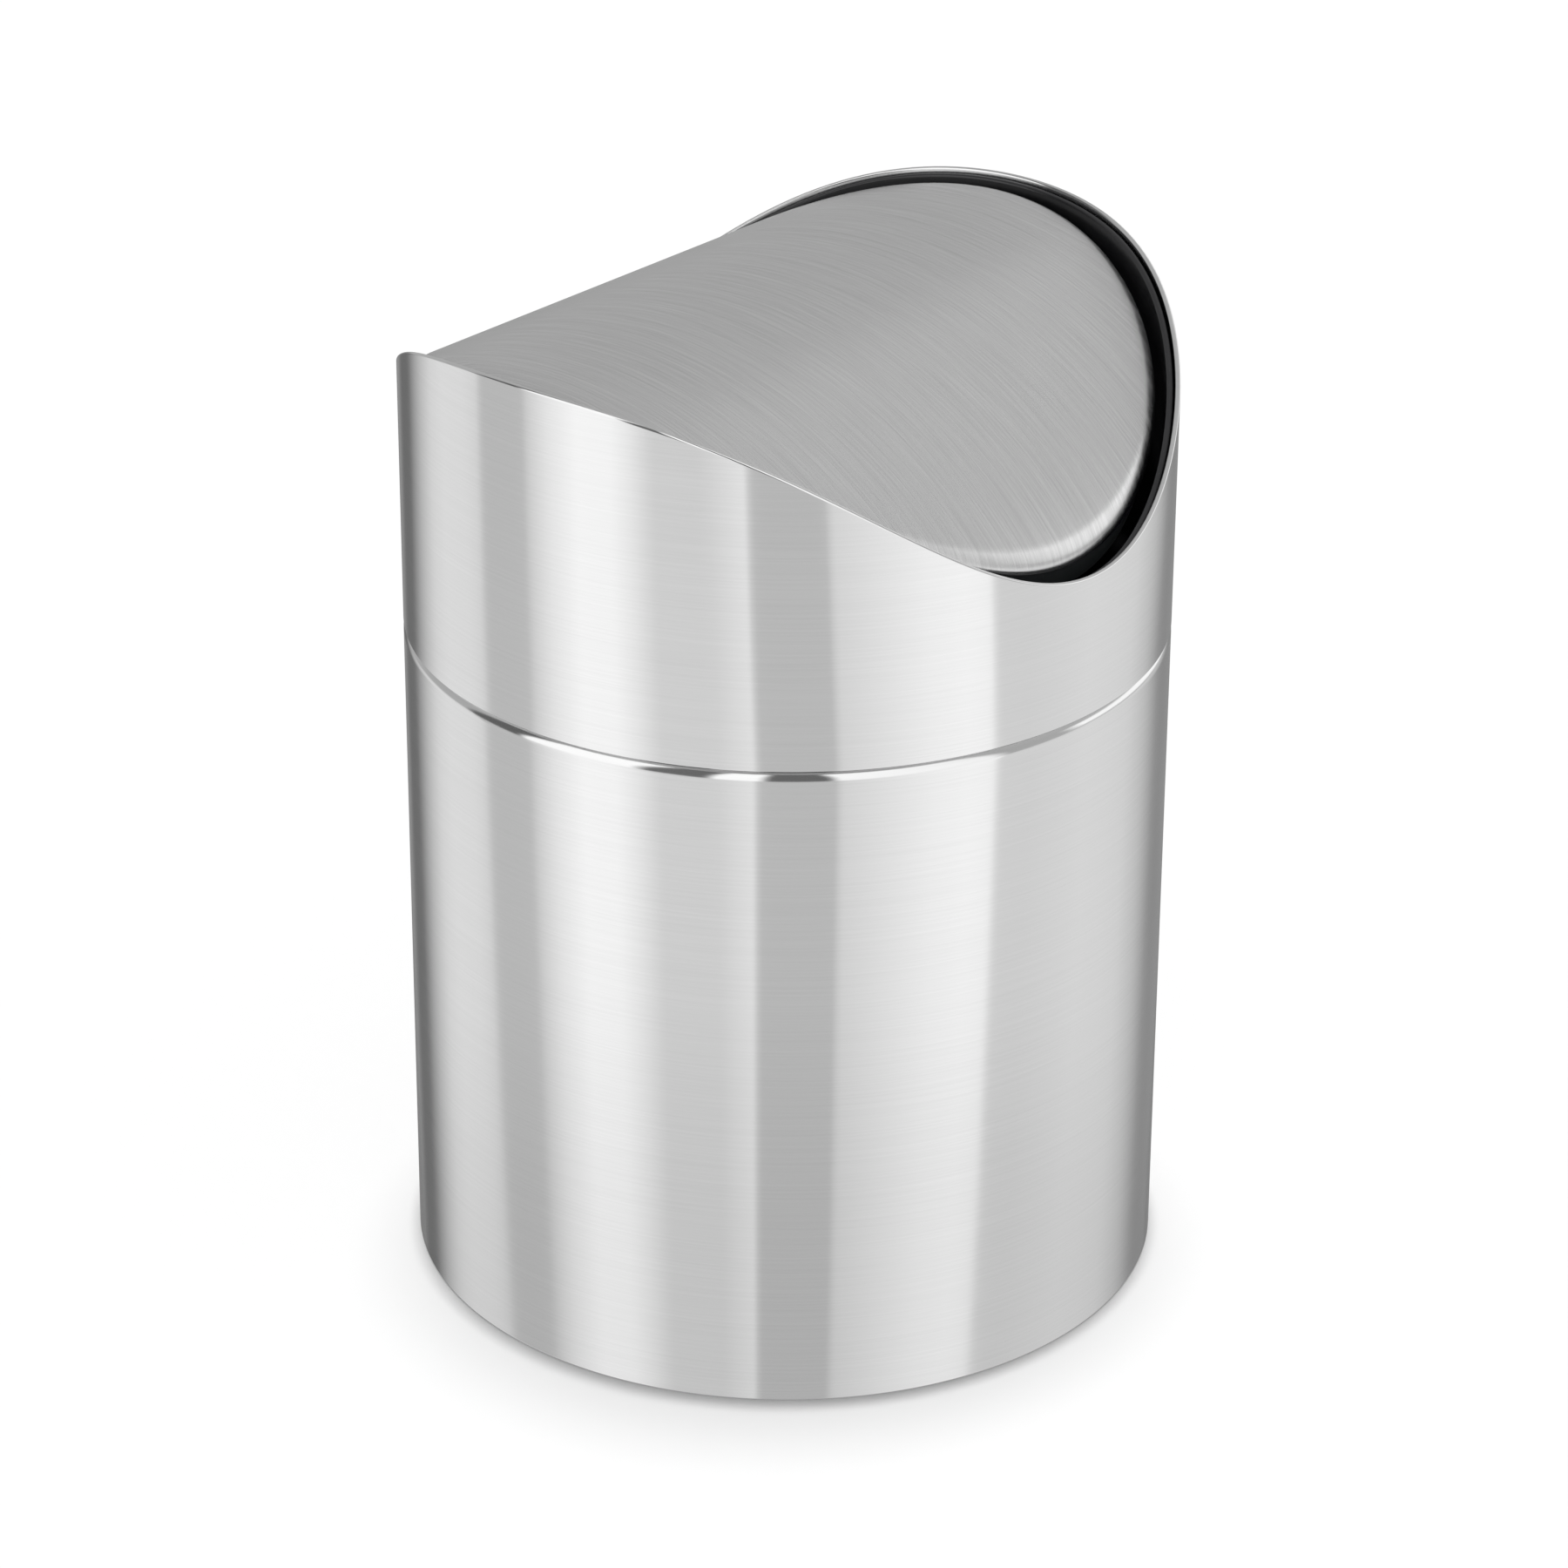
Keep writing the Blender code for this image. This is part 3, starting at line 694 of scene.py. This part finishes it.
def fill_open_end(piece):
    """Close the flat tip of a turned piece, where its rings began."""
    only(piece)
    bpy.ops.object.mode_set(mode="EDIT")
    bpy.ops.mesh.select_mode(type="VERT")
    bpy.ops.mesh.select_all(action="DESELECT")
    form = bmesh.from_edit_mesh(piece.data)
    for vertex in form.verts:
        if vertex.is_boundary:
            vertex.select_set(True)
    form.select_flush(True)
    bmesh.update_edit_mesh(piece.data)
    bpy.ops.mesh.edge_face_add()
    bpy.ops.mesh.select_all(action="SELECT")
    bpy.ops.mesh.normals_make_consistent(inside=False)
    bpy.ops.object.mode_set(mode="OBJECT")


pin_steel = turned_steel(
    "pin_steel", (0.55, 0.55, 0.56), (0.65, 0.65, 0.66), (120, 5000, 120), 0.16, 0.30
)
for end, side in ENDS:
    low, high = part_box("pivot_pin_" + end)
    inner_end, outer_end = sorted((abs(low.y), abs(high.y)))
    head = (high.x - low.x) / 2
    profile = [
        (PIN_TIP_FLAT, outer_end),
        (PIN_RADIUS - PIN_EDGE, outer_end),
        (PIN_RADIUS, outer_end - PIN_EDGE),
        (PIN_RADIUS, inner_end + PIN_HEAD),
        (head - PIN_EDGE, inner_end + PIN_HEAD),
        (head, inner_end + PIN_HEAD - PIN_EDGE),
        (head, inner_end + 2 * PIN_EDGE),
        (head - PIN_EDGE, inner_end + PIN_EDGE),
        (head * PIN_HEAD_FLAT_SHARE, inner_end),
        (0, inner_end),
    ]
    pin = raise_rings("pivot_pin_" + end + "_turned", profile, SMALL_SIDES)
    fill_open_end(pin)
    lay_along_y(pin, side, pivot_height)
    smooth(pin)
    pin.data.materials.append(pin_steel)
    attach(pin, "flap")
    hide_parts("pivot_pin_" + end)


# Counterweights
# Two steel blocks screwed to the lugs, below the pivots. Their weight brings the flap back to the
# angle that it hangs at after it is pushed.

WEIGHT_EDGE = 0.0006

weight_steel = turned_steel(
    "weight_steel", (0.30, 0.30, 0.31), (0.42, 0.42, 0.43), (300, 300, 300), 0.32, 0.46
)
for end, side in ENDS:
    low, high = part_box("counterweight_" + end)
    bpy.ops.object.select_all(action="DESELECT")
    bpy.ops.mesh.primitive_cube_add(size=1, location=(WEIGHT_OFFSET, (low.y + high.y) / 2, weight_middle))
    weight = bpy.context.object
    weight.name = "counterweight_" + end + "_plated"
    weight.scale = (WEIGHT_WIDTH, high.y - low.y, WEIGHT_HEIGHT)
    bpy.ops.object.transform_apply(location=True, rotation=True, scale=True)
    edge = weight.modifiers.new("edge", "BEVEL")
    edge.width = WEIGHT_EDGE
    edge.segments = 4
    apply_modifiers(weight)
    screw_bore = add_rod("screw_bore", SCREW_BORE, -drill_reach, drill_reach, height=weight_middle)
    join_with(weight, screw_bore, "DIFFERENCE")
    hang(weight)
    smooth(weight)
    weight.data.materials.append(weight_steel)
    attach(weight, "flap")
    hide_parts("counterweight_" + end)


# Counterweight screws
# Pan-head screws with a cross recess, in plated steel. Each is driven from the inside through its
# block into the lug.

SCREW_HEAD = 0.0016
SCREW_RIM = 0.0005
SCREW_SHANK = 0.0013
SCREW_POINT = 0.0005
SCREW_TIP_FLAT = 0.0001
SCREW_DOME_STEPS = 10
RECESS_LENGTH = 0.0032
RECESS_WIDTH = 0.0006
RECESS_DEPTH = 0.0009

for end, side in ENDS:
    low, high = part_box("counterweight_screw_" + end)
    inner_end, outer_end = sorted((abs(low.y), abs(high.y)))
    head = (high.x - low.x) / 2
    rim = inner_end + SCREW_HEAD - SCREW_RIM
    profile = [(SCREW_TIP_FLAT, outer_end), (SCREW_SHANK - SCREW_POINT, outer_end)]
    profile += [(SCREW_SHANK, outer_end - SCREW_POINT), (SCREW_SHANK, inner_end + SCREW_HEAD)]
    profile.append((head, inner_end + SCREW_HEAD))
    for step in range(SCREW_DOME_STEPS + 1):
        rise = math.radians(90 * step / SCREW_DOME_STEPS)
        profile.append((head * math.cos(rise), rim - (rim - inner_end) * math.sin(rise)))
    profile[-1] = (0, inner_end)
    screw = raise_rings("counterweight_screw_" + end + "_plated", profile, SMALL_SIDES)
    fill_open_end(screw)
    lay_along_y(screw, side, weight_middle)
    for length, width in ((RECESS_LENGTH, RECESS_WIDTH), (RECESS_WIDTH, RECESS_LENGTH)):
        bpy.ops.object.select_all(action="DESELECT")
        bpy.ops.mesh.primitive_cube_add(size=1, location=(0, side * inner_end, weight_middle))
        recess = bpy.context.object
        recess.scale = (length, 2 * RECESS_DEPTH, width)
        bpy.ops.object.transform_apply(location=True, rotation=True, scale=True)
        join_with(screw, recess, "DIFFERENCE")
    hang(screw)
    smooth(screw)
    screw.data.materials.append(pin_steel)
    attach(screw, "flap")
    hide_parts("counterweight_screw_" + end)


# Studio
# A pale floor, a broad and a narrow sun that lean back and leave a short shadow at the foot, and a
# ring of panels that only reflections see.

FLOOR_SIZE = 30.0
FLOOR_WHITE = 0.8
SKY_FILL = 0.44
SUNS = (("broad_sun", 0.88, 9.0), ("narrow_sun", 1.72, 1.5))
SUN_PLACE = (0, 0, 2)
VIEW_AZIMUTH = 39.96
VIEW_PITCH = 25.77
VIEW_ROLL = 0.299
CAMERA_PLACE = (0.49813, -0.59512, 0.45205)
CAMERA_LENS = 124.45
PANEL_STRENGTH = 1.5
WINDOW_START = 90
WINDOW_END = 164
WINDOW_SILL = 0.0
WINDOW_HEAD = 0.38
WINDOW_LEVEL = 1.3
WINDOW_SIDE_BLUR = 0.01
WINDOW_TOP_BLUR = 0.05
CEILING_GREY = 0.37
TABLE_SHADE = 0.86
SENSOR_WIDTH = 36.0

# Heights of a reflected direction, from -1 straight down to 1 straight up, over which one light
# gives way to the next.
HORIZON = (-0.16, -0.06)
OVERHEAD = (0.95, 0.99)
UNDERFOOT = (-0.9, -0.8)
NEAR_TABLE = (-0.58, -0.50)

bpy.ops.object.select_all(action="DESELECT")
bpy.ops.mesh.primitive_plane_add(size=FLOOR_SIZE, location=(0, 0, 0))
floor = bpy.context.object
floor.name = "floor"
floor.visible_glossy = False
paper, tree, shader, place = new_material("floor_paper", Roughness=1.0)
shader.inputs["Base Color"].default_value = (FLOOR_WHITE, FLOOR_WHITE, FLOOR_WHITE, 1)
shader.inputs["Specular IOR Level"].default_value = 0.0
floor.data.materials.append(paper)

for name, strength, width in SUNS:
    bpy.ops.object.light_add(type="SUN", location=SUN_PLACE)
    sun = bpy.context.object
    sun.name = name
    sun.data.energy = strength
    sun.data.angle = math.radians(width)
    sun.rotation_euler = (-math.radians(width / 2), 0, math.radians(VIEW_AZIMUTH))
    sun.visible_glossy = False

# Brightness of the panels by azimuth from the camera, right positive, as the wall of the bin sees
# them through its brushing, and as the polished bead sees them above the horizon. These levels were
# worked out outside this script, from measured greys, and weren't chosen by hand.
WALL_PANELS = (
    (-164, 0.30), (-158, 0.17), (-148, 0.18), (-136, 0.63), (-128, 0.87), (-120, 0.95), (-108, 0.945),
    (-100.5, 0.88), (-99.5, 0.65), (-81, 0.665), (-80, 0.82), (-72, 1.07), (-62, 1.26), (-51, 1.24),
    (-44, 1.08), (-37, 0.87), (-20, 0.86), (-9, 1.04), (-8.2, 0.67), (14.5, 0.67), (16, 0.88),
    (44, 1.17), (55, 1.23), (64, 1.21), (65, 0.86), (76, 0.855), (100, 0.92), (112, 0.89),
    (122, 0.84), (134, 0.65), (146, 0.34), (152, 0.30),
)
BEAD_PANELS = (
    (-180, 0.52), (-104, 0.52), (-100, 0.15), (-82, 0.15), (-79, 1.35), (-45, 1.35), (-40, 0.18),
    (-23, 0.18), (-20, 1.35), (-8, 1.35), (-5, 0.17), (12, 0.17), (15, 1.30), (60, 1.20), (66, 0.50),
    (104, 0.55), (135, 0.62), (170, 0.54), (180, 0.52),
)


def add_ramp(tree, turn, panels):
    """Grey levels round the bearing, from a list of (azimuth, level)."""
    ramp = tree.nodes.new("ShaderNodeValToRGB")
    while len(ramp.color_ramp.elements) > 1:
        ramp.color_ramp.elements.remove(ramp.color_ramp.elements[-1])
    for index, (azimuth, level) in enumerate(panels):
        position = 0.5 + azimuth / 360
        stops = ramp.color_ramp.elements
        stop = stops.new(position) if index else stops[0]
        stop.position = position
        grey = level / PANEL_STRENGTH
        stop.color = (grey, grey, grey, 1)
    tree.links.new(turn, ramp.inputs["Fac"])
    return ramp.outputs["Color"]


def calculate(tree, operation, first, *others):
    """One arithmetic step on values and numbers."""
    node = tree.nodes.new("ShaderNodeMath")
    node.operation = operation
    tree.links.new(first, node.inputs[0])
    for index, other in enumerate(others, 1):
        if hasattr(other, "links"):
            tree.links.new(other, node.inputs[index])
        else:
            node.inputs[index].default_value = other
    return node.outputs[0]


camera_azimuth = math.radians(VIEW_AZIMUTH - 90)
world = bpy.data.worlds.new("studio")
bpy.context.scene.world = world
world.use_nodes = True
world.cycles.sampling_method = "NONE"
tree = world.node_tree
tree.nodes.clear()
direction = tree.nodes.new("ShaderNodeTexCoord")
axes = tree.nodes.new("ShaderNodeSeparateXYZ")
tree.links.new(direction.outputs["Generated"], axes.inputs[0])
bearing = calculate(tree, "ARCTAN2", axes.outputs["Y"], axes.outputs["X"])
turn = calculate(tree, "MULTIPLY_ADD", bearing, 0.5 / math.pi, 0.5 - camera_azimuth * 0.5 / math.pi)
turn = calculate(tree, "FRACT", turn)
wall_light = add_ramp(tree, turn, WALL_PANELS)
bead_light = add_ramp(tree, turn, BEAD_PANELS)
above = vary(tree, axes.outputs["Z"], *HORIZON, 0.0, 1.0)
ring = tree.nodes.new("ShaderNodeMix")
ring.data_type = "RGBA"
tree.links.new(above, ring.inputs["Factor"])
tree.links.new(wall_light, ring.inputs["A"])
tree.links.new(bead_light, ring.inputs["B"])


def between(tree, value, low, high, edge):
    """A soft-edged mask of the values between low and high."""
    rise = vary(tree, value, low - edge, low + edge, 0.0, 1.0)
    fall = vary(tree, value, high - edge, high + edge, 1.0, 0.0)
    return calculate(tree, "MULTIPLY", rise, fall)


window = tree.nodes.new("ShaderNodeMix")
window.data_type = "RGBA"
window_left = 0.5 + WINDOW_START / 360
window_right = 0.5 + WINDOW_END / 360
window_across = between(tree, turn, window_left, window_right, WINDOW_SIDE_BLUR)
window_up = between(tree, axes.outputs["Z"], WINDOW_SILL, WINDOW_HEAD, WINDOW_TOP_BLUR)
tree.links.new(calculate(tree, "MULTIPLY", window_across, window_up), window.inputs["Factor"])
tree.links.new(ring.outputs["Result"], window.inputs["A"])
window_grey = WINDOW_LEVEL / PANEL_STRENGTH
window.inputs["B"].default_value = (window_grey, window_grey, window_grey, 1)
ceiling = tree.nodes.new("ShaderNodeMix")
ceiling.data_type = "RGBA"
overhead = vary(tree, axes.outputs["Z"], *OVERHEAD, 0.0, 1.0)
underfoot = vary(tree, axes.outputs["Z"], *UNDERFOOT, 1.0, 0.0)
tree.links.new(calculate(tree, "ADD", overhead, underfoot), ceiling.inputs["Factor"])
tree.links.new(window.outputs["Result"], ceiling.inputs["A"])
ceiling.inputs["B"].default_value = (CEILING_GREY, CEILING_GREY, CEILING_GREY, 1)
panels = tree.nodes.new("ShaderNodeBackground")
near_table = vary(tree, axes.outputs["Z"], *NEAR_TABLE, TABLE_SHADE, 1.0)
tree.links.new(calculate(tree, "MULTIPLY", near_table, PANEL_STRENGTH), panels.inputs["Strength"])
tree.links.new(ceiling.outputs["Result"], panels.inputs["Color"])
rays = tree.nodes.new("ShaderNodeLightPath")
backdrop = tree.nodes.new("ShaderNodeBackground")
backdrop.inputs["Color"].default_value = (1, 1, 1, 1)
seen = calculate(tree, "MULTIPLY_ADD", rays.outputs["Is Camera Ray"], 1 - SKY_FILL, SKY_FILL)
tree.links.new(seen, backdrop.inputs["Strength"])
choice = tree.nodes.new("ShaderNodeMixShader")
tree.links.new(rays.outputs["Is Glossy Ray"], choice.inputs["Fac"])
tree.links.new(backdrop.outputs[0], choice.inputs[1])
tree.links.new(panels.outputs[0], choice.inputs[2])
output = tree.nodes.new("ShaderNodeOutputWorld")
tree.links.new(choice.outputs[0], output.inputs["Surface"])

bpy.ops.object.camera_add(location=CAMERA_PLACE)
camera = bpy.context.object
camera.rotation_mode = "XYZ"
camera.rotation_euler = (math.radians(90 - VIEW_PITCH), 0, math.radians(VIEW_AZIMUTH))
camera.data.lens = CAMERA_LENS
camera.data.sensor_width = SENSOR_WIDTH
camera.data.dof.use_dof = False
bpy.context.view_layer.update()
camera.rotation_euler.rotate_axis("Z", math.radians(VIEW_ROLL))
bpy.context.scene.camera = camera
bpy.context.scene.view_settings.view_transform = "Standard"
